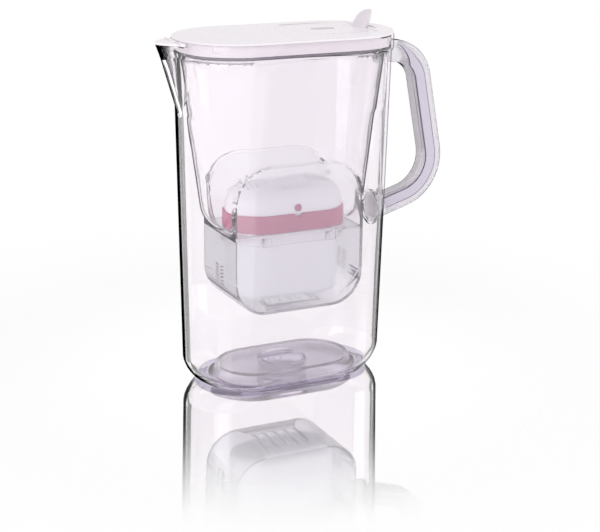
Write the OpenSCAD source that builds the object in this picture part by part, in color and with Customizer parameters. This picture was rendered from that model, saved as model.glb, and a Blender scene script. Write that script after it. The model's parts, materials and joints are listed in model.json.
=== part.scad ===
// Water filter pitcher: a slim clear jug with a drop-in funnel, an oval cartridge and a flip lid.
// X runs along the jug with the handle at +X and the spout at -X, the front is at -Y and Z is up.
// The origin is at the middle of the foot, on the table.

/* [Jug] */
// Height of the jug's rim above the table
rim_height = 267; // [235:1:300]
// Distance between the centres of the jug's two round ends
end_spacing = 83; // [74:1:100]
// Radius of the round ends just under the collar, outside the wall
wall_top_r = 44.5; // [42:0.5:50]
// How much less that radius is where the wall line meets the table
wall_taper = 5.2; // [2:0.1:7]
// Thickness of the jug's wall
wall = 2.6; // [1.8:0.1:3.2]
// Height of the thicker collar round the rim
collar_h = 13; // [12:0.5:18]
// How far the collar stands out from the wall
collar_step = 1.5; // [1:0.1:3]
// Depth of the ledge that carries the funnel, below the rim
ledge_drop = 10.5; // [8:0.5:11]
// Width of that ledge
ledge_w = 1.9; // [1.2:0.1:2.4]
// Height of the rounded blend between the wall and the foot
foot_blend_h = 19; // [10:1:30]
// How far the foot is drawn in at the two ends
foot_draw_end = 15.5; // [8:0.5:20]
// How far the foot is drawn in at the long sides
foot_draw_side = 3; // [1:0.5:6]
// Thickness of the floor
floor_t = 3.2; // [2:0.1:4]
// Height of the raised middle of the floor, over the table
punt_h = 11.5; // [8:0.5:15]
// Radius of the round ends of the raised middle
punt_r = 31; // [27:0.5:33]
// Distance between the centres of its ends
punt_spacing = 50; // [40:1:56]
// Radius of the round well in the raised middle
well_r = 18.5; // [12:0.5:22]

/* [Spout] */
// Height of the spout's V, below the rim
spout_h = 57; // [40:1:80]
// How far the tip of the spout stands out from the wall
spout_reach = 16.5; // [12:0.5:20]
// Half width of the spout at the rim
spout_half_w = 23.3; // [19:0.1:27]
// How far the spout's rim lies below the collar's rim
spout_drop = 2.2; // [1.8:0.1:4]

/* [Handle] */
// Height of the middle of the handle's upper root, below the rim
handle_drop = 16; // [14:0.5:24]
// Distance from the upper root down to the lower root
handle_span = 125.4; // [105:1:140]
// Reach of the grip beyond the wall at the top
handle_reach_top = 28; // [24:0.5:40]
// Reach of the grip beyond the wall at the bottom
handle_reach_low = 48.5; // [40:0.5:58]
// Thickness of the grip, measured away from the jug
grip_t = 17.2; // [14:0.2:22]
// Width of the grip
grip_w = 16; // [14:0.5:24]
// Rounding of the grip's edges
grip_round = 5; // [2:0.25:6]
// Radius of the bend at the top, on the middle line
bend_top_r = 26; // [16:0.5:30]
// Radius of the bend at the bottom, on the middle line
bend_low_r = 33; // [20:0.5:38]
// Depth of the coloured side inlays
inlay_t = 1.4; // [0.8:0.1:2.4]
// Radius of the round socket in the wall that takes the lower root
socket_r = 11.8; // [10:0.1:13]
// Depth of that socket behind the wall's outer face
socket_depth = 4.4; // [3:0.1:5]

/* [Funnel] */
// Thickness of the funnel's wall
funnel_wall = 1.8; // [1.4:0.1:2.2]
// Thickness of the funnel's flange
flange_t = 1.8; // [1.4:0.1:2.6]
// Gap between the funnel's neck and the jug's wall
funnel_gap = 2.3; // [1.5:0.1:4]
// Sideways taper of the funnel for each millimetre of height
funnel_slope = 0.12; // [0.09:0.01:0.14]
// Radius of the bend from the funnel's wall to its floor
funnel_bend_r = 24; // [16:1:24]
// Depth of the funnel's floor below the ledge
floor_depth = 135; // [125:1:150]
// Thickness of the funnel's floor
seat_t = 2.4; // [1.8:0.1:3.5]
// Height of the seat collar under the floor
seat_collar_h = 7; // [4:0.5:12]
// Width of the half-round locating tab under the flange
tab_w = 9; // [6:0.5:14]

/* [Pocket] */
// Half width of the pocket
pocket_half_w = 53.4; // [51.6:0.2:56]
// Half depth of the pocket
pocket_half_d = 31; // [30:0.1:33]
// Depth of the pocket's underside below the ledge
pocket_depth = 197; // [192:1:210]
// Depth of the top of the pocket's arched faces below the ledge
arch_depth = 82; // [74:1:92]
// Corner radius of the arched faces at the top
arch_r = 30; // [20:1:34]
// Corner radius of the pocket at the bottom
pocket_r = 26; // [16:1:30]
// Thickness of the pocket's wall
pocket_wall = 1.8; // [1.2:0.1:2.2]
// Rows of vent slots in each end of the pocket
vent_rows = 6; // [3:1:8]
// Distance from one row of vent slots to the next
vent_pitch = 2.8; // [2.2:0.1:3.4]

/* [Cartridge] */
// Distance between the centres of the cartridge's round ends
cart_spacing = 42.8; // [36:0.4:44]
// Radius of the cartridge's cup at its rim
cup_r = 24.6; // [22:0.1:25]
// Height of the cup
cup_h = 62; // [50:1:66]
// How much narrower the cup is at its foot
cup_taper = 1.8; // [0.5:0.1:4]
// Wall of the cup and of the dome
cart_wall = 1.5; // [1.2:0.1:2]
// Height of the dome above the seal
dome_h = 21; // [16:1:28]
// Height of the seal ring
seal_h = 14; // [10:0.5:16]
// How far the seal ring stands out from the cup
seal_step = 3; // [2.4:0.1:3.4]
// Diameter of the vent button
button_d = 5.8; // [4:0.1:7]
// Inlet slits on each lobe of the dome
slit_count = 5; // [3:1:7]

/* [Lid] */
// Thickness of the lid's cover at its edge
cover_edge_t = 1.8; // [1.2:0.1:2.5]
// Rise of the cover from its edge to its middle
cover_crown = 1.4; // [0.8:0.1:2.4]
// Thickness of the lid's inner ring
ring_t = 1.8; // [1.4:0.1:2.4]
// Width of the square lugs on the ring
lug_w = 5.5; // [3:0.5:9]
// Distance from the jug's middle to the free edge of the fill flap
flap_start = 3; // [-6:1:12]
// Distance from the lid's rear end to the fill flap's hinge
hinge_inset = 17.5; // [16:0.5:24]
// Half width of the fill flap
flap_half_w = 27; // [24:0.5:30]
// Thickness of the fill flap
flap_t = 1.5; // [1.2:0.1:1.8]
// Diameter of the fill flap's hinge pin
pin_d = 2; // [1.6:0.1:2.4]
// Height of the thumb lever above the fill flap
lever_h = 12.6; // [9:0.1:16]
// Width of the thumb lever
lever_w = 19; // [12:0.5:26]
// Length of the indicator's oval window
window_l = 20; // [14:0.5:24]
// Width of that window
window_w = 10; // [7:0.5:13]

/* [Fits] */
// Running clearance round a pin
pin_fit = 0.05; // [0.03:0.01:0.09]
// Gap between parts that lift out of one another
lift_fit = 0.35; // [0.3:0.05:0.6]
// Gap round the edges of the flaps
flap_gap = 0.4; // [0.3:0.05:0.6]

/* [Hidden] */

ROUND_FN = 96;
EPS = 0.01;
DEEP = 400;

// Jug: heights, and the wall as a cone round each end
half_straight = end_spacing / 2;
ledge_z = rim_height - ledge_drop;
collar_z = rim_height - collar_h;
collar_r = wall_top_r + collar_step;
collar_bore_r = collar_r - wall + (ledge_w - collar_step);
spout_z = rim_height - spout_h;
collar_blend = 2.5;

function wall_r(z) = wall_top_r - wall_taper * (1 - z / collar_z);
function clamp(v) = max(0, min(1, v));
function spout_part(z) = clamp((z - spout_z) / spout_h);

// Plan of the jug at one height: two round ends and flats, with the spout's V pushed out of the -X end.
END_N = 26;
SIDE_N = 8;
SPOUT_N = 12;
SPOUT_SOFT = 0.22;
SPOUT_MIN_ANGLE = 8;
function soft(u) = (sqrt(u * u + SPOUT_SOFT * SPOUT_SOFT) - SPOUT_SOFT)
    / (sqrt(1 + SPOUT_SOFT * SPOUT_SOFT) - SPOUT_SOFT);
function spout_w(z) = spout_half_w * pow(spout_part(z), 0.6);
function spout_tip(z) = half_straight + wall_r(z) + spout_reach * spout_part(z);
function plan(c, r, z, inset = 0, drop = 0) =
    let(
        w = min(r * 0.9, max(spout_w(z) - inset / 3, r * sin(SPOUT_MIN_ANGLE))),
        a = asin(w / r),
        tip = max(0, spout_tip(z) - inset * 1.35 - c - r) * (z > spout_z ? 1 : 0)
    )
    concat(
        [for (i = [0:END_N]) let(t = -90 + 180 * i / END_N) [c + r * cos(t), r * sin(t), z]],
        [for (i = [0:SIDE_N]) let(t = 90 + (90 - a) * i / SIDE_N) [-c + r * cos(t), r * sin(t), z]],
        [for (i = [1:SPOUT_N - 1]) let(y = w * (1 - 2 * i / SPOUT_N), u = abs(y) / w)
            [-c - sqrt(r * r - y * y) - tip * (1 - soft(u)), y, z - drop * (1 - pow(u, 24))]],
        [for (i = [0:SIDE_N]) let(t = 180 + a + (90 - a) * i / SIDE_N) [-c + r * cos(t), r * sin(t), z]]
    );

// Closed solid through a list of rings, each with the same number of points
module loft(rings) {
    n = len(rings[0]);
    m = len(rings);
    polyhedron(
        points = [for (ring = rings) for (p = ring) p],
        faces = concat(
            [[for (i = [0:n - 1]) i]],
            [for (k = [0:m - 2]) for (i = [0:n - 1]) let(j = (i + 1) % n)
                each [[k * n + i, (k + 1) * n + i, (k + 1) * n + j], [k * n + i, (k + 1) * n + j, k * n + j]]],
            [[for (i = [n - 1:-1:0]) (m - 1) * n + i]]
        )
    );
}

// Solid with a stadium plan from a closed half profile of [radius, height] points
module stadium(profile, c) {
    for (turn = [-90, 90])
        rotate([0, 0, turn])
            translate([0, c, 0])
                rotate_extrude(angle = 180, $fn = ROUND_FN) polygon(profile);
    rotate([90, 0, 90])
        translate([0, 0, -c])
            linear_extrude(2 * c)
                for (side = [0, 1]) mirror([side, 0, 0]) polygon(profile);
}

// Plate with a stadium plan and upright sides
module stadium_plate(r, c, z0, z1) {
    translate([0, 0, z0]) {
        for (x = [-c, c]) translate([x, 0, 0]) cylinder(r = r, h = z1 - z0, $fn = ROUND_FN);
        translate([-c, -r, 0]) cube([2 * c, 2 * r, z1 - z0]);
    }
}

// Foot blend: the share of the way from the foot's outline to the wall's, at one height
BLEND_POWER = 1.6;
BLEND_N = 7;
function blend(z) = let(t = clamp(z / foot_blend_h)) pow(1 - pow(1 - t, BLEND_POWER), 1 / BLEND_POWER);
foot_c = half_straight - foot_draw_end + foot_draw_side;
function skin_c(z) = foot_c + (half_straight - foot_c) * blend(z);
function skin_r(z) = let(r0 = wall_r(0) - foot_draw_side) r0 + (wall_r(z) - r0) * blend(z);
foot_ring_w = 3.4;
punt_c = punt_spacing / 2;
punt_under_r = punt_r - floor_t * 0.8;
WALL_N = 3;
SPOUT_RINGS = 7;
blend_zs = [for (i = [1:BLEND_N]) foot_blend_h * pow(i / BLEND_N, 1.5)];
wall_zs = [for (i = [1:WALL_N]) foot_blend_h + (spout_z - foot_blend_h) * i / WALL_N];
spout_zs = [for (i = [1:SPOUT_RINGS]) spout_z + (collar_z - spout_z) * pow(i / SPOUT_RINGS, 1.2)];

module jug_shell() {
    outer = concat(
        [plan(foot_c - foot_ring_w * 0.3, skin_r(0) - foot_ring_w, 0), plan(foot_c, skin_r(0), 0)],
        [for (z = blend_zs) plan(skin_c(z), skin_r(z), z)],
        [for (z = wall_zs) plan(half_straight, wall_r(z), z)],
        [for (z = spout_zs) plan(half_straight, wall_r(z), z)],
        [plan(half_straight, collar_r - 0.4, collar_z + collar_blend * 0.4)],
        [plan(half_straight, collar_r, collar_z + collar_blend)],
        [plan(half_straight, collar_r, rim_height - 0.8, 0, spout_drop)],
        [plan(half_straight, collar_r - 0.6, rim_height, 0.6, spout_drop)]
    );
    inner = concat(
        [plan(half_straight, collar_bore_r + 0.4, rim_height, wall - 0.2, spout_drop)],
        [plan(half_straight, collar_bore_r, rim_height - 0.6, wall, spout_drop)],
        [plan(half_straight, collar_bore_r, ledge_z, wall)],
        [plan(half_straight, collar_bore_r - ledge_w, ledge_z - EPS, wall)],
        [for (i = [len(spout_zs) - 1:-1:0]) let(z = spout_zs[i]) if (z < ledge_z - 2)
            plan(half_straight, wall_r(z) - wall, z, wall)],
        [for (i = [WALL_N - 1:-1:0]) plan(half_straight, wall_r(wall_zs[i]) - wall, wall_zs[i])],
        [for (i = [BLEND_N - 1:-1:1]) let(z = blend_zs[i])
            plan(skin_c(z), skin_r(z) - wall, z + floor_t * (1 - blend(z)))],
        [plan(foot_c - 2, skin_r(0) - 1.2, floor_t)],
        [plan(punt_c + 1.2, punt_r + 1.4, floor_t)],
        [plan(punt_c, punt_r, punt_h - 1.6), plan(punt_c, punt_r - 1.6, punt_h)]
    );
    under = [plan(punt_c, punt_under_r - 1, punt_h - floor_t), plan(punt_c, punt_under_r, punt_h - floor_t - 1)];
    loft(concat(under, outer, inner));
}

// Place of the handle's roots on the end wall
root_top_z = rim_height - handle_drop;
root_low_z = root_top_z - handle_span;
function end_x(z) = half_straight + wall_r(z);
socket_x = end_x(root_low_z) - socket_depth;
socket_floor = 2.2;
boss_r = socket_r + 2;
boss_x = half_straight + sqrt(pow(wall_r(root_low_z - boss_r), 2) - boss_r * boss_r) - 0.15;
well_taper = 1.4;
well_z = 0.8;

module jug() {
    color([0.9, 0.87, 0.93, 0.45])
        difference() {
            union() {
                jug_shell();
                translate([socket_x - socket_floor, 0, root_low_z]) rotate([0, 90, 0])
                    cylinder(r = boss_r, h = boss_x - socket_x + socket_floor, $fn = ROUND_FN);
                translate([0, 0, well_z])
                    cylinder(r1 = well_r, r2 = well_r + well_taper, h = punt_h - 1 - well_z, $fn = ROUND_FN);
            }
            translate([socket_x, 0, root_low_z]) rotate([0, 90, 0])
                cylinder(r = socket_r, h = socket_depth * 4, $fn = ROUND_FN);
            translate([0, 0, well_z + floor_t * 0.8])
                cylinder(r1 = well_r - 2, r2 = well_r - 2 + well_taper, h = punt_h, $fn = ROUND_FN);
        }
}

// Handle: a rounded section swept along a middle line of straights and two bends
function unit(v) = v / norm(v);
BEND_N = 12;
// Points of an arc that rounds corner b between a and c
function rounded(a, b, c, r) =
    let(
        u = unit(a - b),
        v = unit(c - b),
        half = acos(u * v) / 2,
        start = b + u * (r / tan(half)),
        centre = b + unit(u + v) * (r / sin(half)),
        a0 = atan2(start[1] - centre[1], start[0] - centre[0]),
        turn = -(180 - 2 * half)
    )
    [for (i = [0:BEND_N]) let(t = a0 + turn * i / BEND_N) centre + r * [cos(t), sin(t)]];
root_in = 6;
line_start = [end_x(root_top_z) - root_in, root_top_z + root_in * 0.17];
corner_top = [end_x(root_top_z) + handle_reach_top, root_top_z - 5];
corner_low = [end_x(root_low_z) + handle_reach_low + 2.4, root_low_z + 15.6];
line_end = [socket_x + 2, root_low_z - 0.6];
middle_line = concat(
    [line_start, (line_start + corner_top) / 2 - [4, -0.4]],
    rounded(line_start, corner_top, corner_low, bend_top_r),
    rounded(corner_top, corner_low, line_end, bend_low_r),
    [line_end + [6, 1.9], line_end]
);
LINE_N = len(middle_line);
function tangent(i) = unit(middle_line[min(i + 1, LINE_N - 1)] - middle_line[max(i - 1, 0)]);
CORNER_N = 5;
// Outline of the grip's section, [across, width]
function section(t, w, r) = [for (q = [0:3]) for (i = [0:CORNER_N])
    let(a = q * 90 + 90 * i / CORNER_N, sx = (q == 0 || q == 3) ? 1 : -1, sy = q < 2 ? 1 : -1)
        [sx * (t / 2 - r) + r * cos(a), sy * (w / 2 - r) + r * sin(a)]];
function swept(i, t, w, r) =
    let(p = middle_line[i], d = tangent(i), n = [-d[1], d[0]])
    [for (s = section(t, w, r)) [p[0] + n[0] * s[0], -s[1], p[1] + n[1] * s[0]]];
// Flat band along the middle line, between two offsets from it
band_out = grip_t / 2 - 3.2;
band_in = grip_t / 2 - 1.8;
BAND_FIRST = 1;
BAND_LAST = LINE_N - 2;
function offset_point(i, o) = let(d = tangent(i)) middle_line[i] + o * [-d[1], d[0]];
function band_share(i) = clamp((i - BAND_FIRST) / 6);
module band(shrink) {
    outer = [for (i = [BAND_FIRST:BAND_LAST]) offset_point(i, band_out - shrink)];
    inner = [for (i = [BAND_LAST:-1:BAND_FIRST + 1])
        offset_point(i, band_out - (band_out + band_in) * band_share(i) + shrink)];
    polygon(concat(outer, inner));
}
module band_solid(y0, y1, shrink = 0) {
    translate([0, y1, 0]) rotate([90, 0, 0]) linear_extrude(y1 - y0) band(shrink);
}
// The end of the jug as a true cone and collar, to seat the handle's roots on
module end_cutter() {
    translate([half_straight, 0, 0])
        rotate_extrude($fn = ROUND_FN)
            polygon([[0, 0], [wall_r(0), 0], [wall_r(collar_z) + EPS, collar_z - EPS],
                [collar_r - 0.4 + EPS, collar_z + collar_blend * 0.4], [collar_r + EPS, collar_z + collar_blend],
                [collar_r + EPS, rim_height], [0, rim_height]]);
}

module handle() {
    color([0.93, 0.9, 0.95, 0.6])
        difference() {
            union() {
                difference() {
                    loft([for (i = [0:LINE_N - 1]) swept(i, grip_t, grip_w, grip_round)]);
                    end_cutter();
                }
                translate([socket_x + EPS, 0, root_low_z]) rotate([0, 90, 0])
                    cylinder(r = socket_r - EPS, h = socket_depth - 0.6, $fn = ROUND_FN);
            }
            band_solid(-grip_w, -grip_w / 2 + inlay_t);
            band_solid(grip_w / 2 - inlay_t, grip_w);
        }
}

module handle_inlay_front() {
    color([0.72, 0.68, 0.82, 0.8]) band_solid(-grip_w / 2 + 0.2, -grip_w / 2 + inlay_t, 0.05);
}

module handle_inlay_rear() {
    color([0.72, 0.68, 0.82, 0.8]) band_solid(grip_w / 2 - inlay_t, grip_w / 2 - 0.2, 0.05);
}

// Funnel
floor_z = ledge_z - floor_depth;
neck_r = wall_top_r - wall - funnel_gap;
flange_r = collar_bore_r - lift_fit;
FUNNEL_N = 10;
function neck_slope_r(z) = neck_r - funnel_slope * (ledge_z - z);
// Half profile of the funnel, grown or shrunk by t, open at the top up to z1
function funnel_profile(t, z1) =
    let(
        lean = atan(funnel_slope),
        z0 = floor_z - seat_t - t,
        r0 = neck_slope_r(z0) + t / cos(lean),
        r = min(funnel_bend_r, (neck_slope_r(split_z) - funnel_wall) / tan((90 - lean) / 2)) + t,
        cut = r * tan((90 - lean) / 2),
        centre = [r0 - cut, z0 + r]
    )
    concat(
        [[0, z1], [0, z0]],
        [for (i = [0:FUNNEL_N]) let(a = -90 + (90 - lean) * i / FUNNEL_N) centre + r * [cos(a), sin(a)]],
        [[neck_slope_r(z1) + t / cos(lean), z1]]
    );
arch_z = ledge_z - arch_depth;
pocket_z = ledge_z - pocket_depth;
split_z = floor_z - seat_t;
seat_hole_r = cup_r + 0.9;

// Rounded square of the pocket, seen from the front, shrunk by t
module pocket_face(t) {
    w = pocket_half_w - t;
    for (x = [-1, 1]) {
        translate([x * (w - arch_r + t), arch_z - arch_r]) circle(r = arch_r - t, $fn = ROUND_FN);
        translate([x * (w - pocket_r + t), pocket_z + pocket_r]) circle(r = pocket_r - t, $fn = ROUND_FN);
    }
    translate([-w, pocket_z + pocket_r]) square([2 * w, arch_z - arch_r - pocket_z - pocket_r]);
    translate([-w + arch_r - t, arch_z - arch_r]) square([2 * (w - arch_r + t), arch_r - t]);
    translate([-w + pocket_r - t, pocket_z + t]) square([2 * (w - pocket_r + t), pocket_r - t]);
}
module pocket_block(t, half_d) {
    translate([0, half_d, 0]) rotate([90, 0, 0]) linear_extrude(2 * half_d) pocket_face(t);
}
module slab(z0, z1) {
    translate([-DEEP / 2, -DEEP / 2, z0]) cube([DEEP, DEEP, z1 - z0]);
}

module funnel() {
    color([0.88, 0.85, 0.92, 0.5])
        difference() {
            union() {
                stadium(funnel_profile(0, ledge_z), half_straight);
                stadium_plate(flange_r, half_straight, ledge_z, ledge_z + flange_t);
                intersection() {
                    pocket_block(0, pocket_half_d);
                    slab(split_z, arch_z + 1);
                }
                stadium_plate(seat_hole_r + pocket_wall, cart_spacing / 2, split_z - seat_collar_h, split_z + 1);
                locating_tab();
                seat_gussets();
            }
            intersection() {
                union() {
                    stadium(funnel_profile(-funnel_wall, ledge_z + flange_t + 1), half_straight);
                    pocket_block(pocket_wall, pocket_half_d - pocket_wall);
                }
                slab(floor_z, ledge_z + flange_t + 1);
            }
            stadium_plate(seat_hole_r, cart_spacing / 2, split_z - seat_collar_h - 1, floor_z + 1);
        }
}

module locating_tab() {
    translate([half_straight + neck_slope_r(ledge_z - tab_w), 0, ledge_z + EPS])
        rotate([0, 90, 0])
            intersection() {
                cylinder(r = tab_w / 2, h = collar_bore_r - ledge_w - neck_slope_r(ledge_z - tab_w) - lift_fit,
                    $fn = ROUND_FN);
                translate([0, -tab_w, -1]) cube([tab_w, 2 * tab_w, tab_w]);
            }
}

// Small webs between the seat collar and the pocket's front and back walls
gusset_x = 27;
gusset_w = 8;
module seat_gussets() {
    y0 = seat_hole_r + pocket_wall / 2;
    y1 = pocket_half_d - pocket_wall - 0.3;
    for (side = [-1, 1]) for (x = [-gusset_x, gusset_x])
        translate([x - gusset_w / 2, side > 0 ? y0 : -y1, split_z - seat_collar_h])
            cube([gusset_w, y1 - y0, seat_collar_h + 1]);
}

vent_l = 5.6;
vent_t = 1;
vent_gap = 3.6;
vent_z = pocket_z + 20;
module filter_pocket() {
    color([0.93, 0.93, 0.96, 0.7])
        difference() {
            intersection() {
                pocket_block(0, pocket_half_d);
                slab(pocket_z - 1, split_z);
            }
            pocket_block(pocket_wall, pocket_half_d - pocket_wall);
            for (side = [-1, 1]) for (y = [-1, 1]) for (i = [0:vent_rows - 1])
                translate([side * pocket_half_w, y * (vent_gap + vent_l) / 2, vent_z + i * vent_pitch])
                    rotate([y * 12, 0, 0])
                        cube([4 * pocket_wall, vent_l, vent_t], center = true);
            outlet_slots();
        }
}

// Slots in the pocket's underside that let the filtered water out
outlet_l = 30;
outlet_w = 2.4;
module outlet_slots() {
    for (x = [-18:9:18])
        translate([x, 0, pocket_z]) cube([outlet_w, outlet_l, 4 * pocket_wall], center = true);
}

// Cartridge: cup, dome, seal and what lies inside them
cart_c = cart_spacing / 2;
seal_z = floor_z;
seal_top = seal_z + seal_h;
cup_top = seal_top;
cup_z = cup_top - cup_h - seal_h + 7;
cup_foot_r = cup_r - cup_taper;
cup_round = 6;
CUP_N = 4;
function cup_profile(t, z0, z1) = concat(
    [[0, z0]],
    [for (i = [0:CUP_N]) let(a = 90 * i / CUP_N)
        [cup_foot_r - cup_round + (cup_round - t) * sin(a), z0 + (cup_round - t) * (1 - cos(a))]],
    [[cup_r - t, z1], [0, z1]]
);
module cartridge_cup() {
    color("whitesmoke")
        difference() {
            stadium(cup_profile(0, cup_z, cup_top), cart_c);
            stadium(cup_profile(cart_wall, cup_z + cart_wall, cup_top + 1), cart_c);
            for (x = [-cart_c:6:cart_c])
                translate([x, 0, cup_z]) cube([1.2, 24, 4 * cart_wall], center = true);
        }
}

seal_r = cup_r + seal_step;
module seal_ring() {
    color([0.86, 0.45, 0.6])
        difference() {
            stadium([[0, seal_z], [seal_r - 0.8, seal_z], [seal_r, seal_z + 0.8], [seal_r - 0.3, seal_top - 0.8],
                [seal_r - 1.1, seal_top], [0, seal_top]], cart_c);
            stadium([[0, seal_z - 1], [cup_r + 0.02, seal_z - 1], [cup_r + 0.02, seal_top + 1],
                [0, seal_top + 1]], cart_c);
            for (y = [-seal_r, seal_r])
                translate([0, y, seal_top + 2]) rotate([90, 0, 0])
                    cylinder(d = button_d + 3, h = 4 * seal_step, center = true, $fn = ROUND_FN);
        }
}

DOME_N = 8;
dome_r = cup_r + 1.2;
function dome_profile(t) = concat(
    [[0, seal_top + dome_h - t]],
    [for (i = [DOME_N:-1:0]) let(a = 90 * (i - 0.5) / DOME_N, s = max(0, a))
        [(dome_r - t) * pow(cos(s), 0.75), seal_top + 1.5 + (dome_h - 1.5 - t) * pow(sin(s), 0.9)]],
    [[dome_r - t, seal_top], [0, seal_top]]
);
saddle_r = 22;
saddle_d = 4;
module cartridge_dome() {
    color("white")
        difference() {
            stadium(dome_profile(0), cart_c);
            difference() {
                stadium(dome_profile(cart_wall), cart_c);
                translate([0, 0, seal_top + dome_h + saddle_r - saddle_d]) rotate([90, 0, 0])
                    cylinder(r = saddle_r + cart_wall, h = DEEP, center = true, $fn = ROUND_FN);
            }
            translate([0, 0, seal_top - 1])
                stadium_plate(dome_r - cart_wall, cart_c, 0, 1 + EPS);
            translate([0, 0, seal_top + dome_h + saddle_r - saddle_d]) rotate([90, 0, 0])
                cylinder(r = saddle_r, h = DEEP, center = true, $fn = ROUND_FN);
            for (side = [-1, 1]) for (i = [0:slit_count - 1])
                translate([side * (cart_c + 4) + (i - (slit_count - 1) / 2) * 4, 0, seal_top + dome_h])
                    cube([1.2, 22, dome_h / 2], center = true);
            translate([0, -dome_r, button_z]) rotate([90, 0, 0])
                cylinder(d = button_d - 1.5, h = 4 * cart_wall, center = true, $fn = ROUND_FN);
        }
}

button_z = seal_top + 4.2;
button_out = 1.4;
module vent_button() {
    color([0.86, 0.45, 0.6])
        translate([0, -dome_r + EPS, button_z]) rotate([90, 0, 0]) {
            cylinder(d1 = button_d, d2 = button_d - 1, h = button_out, $fn = ROUND_FN);
            translate([0, 0, -cart_wall]) cylinder(d = button_d - 1.6, h = cart_wall + 0.5, $fn = ROUND_FN);
        }
}

sieve_t = 1.2;
fill_z0 = cup_z + cart_wall + sieve_t;
fill_z1 = cup_top - 6;
function cup_bore(z) = cup_foot_r - cart_wall + cup_taper * (z - cup_z - cup_round) / (cup_top - cup_z - cup_round);
module inlet_sieve() {
    color("gainsboro")
        difference() {
            stadium_plate(cup_bore(fill_z1) - 0.3, cart_c, fill_z1, fill_z1 + sieve_t);
            for (x = [-cart_c:7:cart_c + 1]) for (y = [-12, -6, 0, 6, 12])
                translate([x, y, fill_z1]) cylinder(d = 2, h = 8, center = true, $fn = 24);
        }
}
module outlet_sieve() {
    color("gainsboro")
        stadium_plate(cup_foot_r - cup_round, cart_c, cup_z + cart_wall, fill_z0);
}
module filter_granulate() {
    color("dimgray")
        stadium([[0, fill_z0], [cup_foot_r - cup_round, fill_z0], [cup_foot_r - cart_wall - 0.5, cup_z + cup_round],
            [cup_bore(fill_z1) - 0.4, fill_z1], [0, fill_z1]], cart_c);
}

// Lid: crowned cover and the inner ring under it
cover_z = rim_height;
cover_top = cover_z + cover_edge_t + cover_crown;
module crown(t) {
    stadium([[0, cover_z + t], [collar_r - 0.4, cover_z + t], [collar_r, cover_z + 0.5 + t],
        [collar_r - 0.7, cover_z + cover_edge_t - 0.2], [collar_r - 2.4, cover_z + cover_edge_t + 0.25],
        [collar_r * 0.72, cover_z + cover_edge_t + cover_crown * 0.62],
        [collar_r * 0.4, cover_z + cover_edge_t + cover_crown * 0.92], [0, cover_top]], half_straight);
}

// Plan of the fill flap: a wide tongue with a bowed free edge
hinge_x = half_straight + collar_r - hinge_inset;
flap_bow_r = 60;
flap_heel = 6.5;
knuckle_half = 12;
// Extra room behind the flap, for its rear edge when it starts to swing
flap_swing = 0.6;
knuckle_r = pin_d / 2 + 1.2;
module flap_plan(g, swing = 0) {
    intersection() {
        translate([flap_start - g, -flap_half_w - g])
            square([hinge_x - flap_heel - flap_start + 2 * g + swing, 2 * (flap_half_w + g)]);
        translate([flap_start + flap_bow_r, 0]) circle(r = flap_bow_r + g, $fn = 2 * ROUND_FN);
    }
    translate([hinge_x - flap_heel - 1, -knuckle_half - g]) square([flap_heel + 1, 2 * (knuckle_half + g)]);
}
flap_z = cover_top - flap_t - 0.7;
opening_start = flap_start + 5;
opening_end = hinge_x - 7;
opening_half_w = flap_half_w - 5;
hinge_z = flap_z - knuckle_r + 0.6;
ear_w = 4;

module fill_opening(z0, z1) {
    translate([opening_start, -opening_half_w, z0])
        cube([opening_end - opening_start, 2 * opening_half_w, z1 - z0]);
}

module lid_cover() {
    color("white")
        difference() {
            crown(0);
            translate([0, 0, flap_z]) linear_extrude(DEEP) flap_plan(flap_gap, flap_swing);
            fill_opening(cover_z - 1, cover_top + 1);
            hinge_slot();
            pin_hole();
        }
}

// Clear space for the fill flap's knuckle, open at the top
module hinge_slot() {
    w = knuckle_half + flap_gap;
    r = knuckle_r + flap_gap;
    translate([hinge_x, 0, hinge_z]) rotate([90, 0, 0]) cylinder(r = r, h = 2 * w, center = true, $fn = ROUND_FN);
    translate([hinge_x - flap_heel, -w, hinge_z]) cube([flap_heel + r, 2 * w, DEEP]);
}

ring_r = collar_bore_r - lift_fit;
ring_z = ledge_z + flange_t + lift_fit;
lug_angle = 50;
lug_h = 4;
module lid_ring() {
    color("white")
        difference() {
            union() {
                difference() {
                    stadium_plate(ring_r, half_straight, ring_z, cover_z);
                    stadium_plate(ring_r - ring_t, half_straight, ring_z - 1, cover_z + 1);
                }
                hinge_ears();
                spout_shelf();
            }
            pin_hole();
            spout_bar(spout_pin_d / 2 + EPS, spout_pin_half + 0.2);
            for (side = [0, 180]) for (a = [-lug_angle, lug_angle])
                rotate([0, 0, side]) translate([half_straight, 0, 0]) rotate([0, 0, a])
                    translate([ring_r - 0.8, -lug_w / 2, cover_z - 1.5 - lug_h]) cube([5, lug_w, lug_h]);
        }
}

// Two ears under the cover that carry the hinge pin, each on an arm that reaches the ring
ear_drop = 3.4;
arm_w = 6;
arm_t = 2;
arm_end = sqrt(pow(ring_r - ring_t / 2, 2) - pow(hinge_x + arm_w / 2 - half_straight, 2));
module hinge_ears() {
    for (side = [-1, 1])
        translate([hinge_x - knuckle_r - 1, side > 0 ? knuckle_half + 0.2 : -knuckle_half - 0.2 - ear_w,
            hinge_z - ear_drop])
            cube([2 * (knuckle_r + 1), ear_w, cover_z - hinge_z + ear_drop]);
    for (side = [-1, 1])
        translate([hinge_x - arm_w / 2, side > 0 ? knuckle_half + 0.2 : -arm_end, hinge_z - ear_drop])
            cube([arm_w, arm_end - knuckle_half - 0.2, arm_t]);
}
module pin_hole() {
    translate([hinge_x, 0, hinge_z]) rotate([90, 0, 0])
        cylinder(d = pin_d + 0.02, h = 2 * (knuckle_half + ear_w + 1), center = true, $fn = ROUND_FN);
}
module fill_flap_pin() {
    color("silver")
        translate([hinge_x, 0, hinge_z]) rotate([90, 0, 0])
            cylinder(d = pin_d, h = 2 * (knuckle_half + ear_w), center = true, $fn = ROUND_FN);
}

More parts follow.
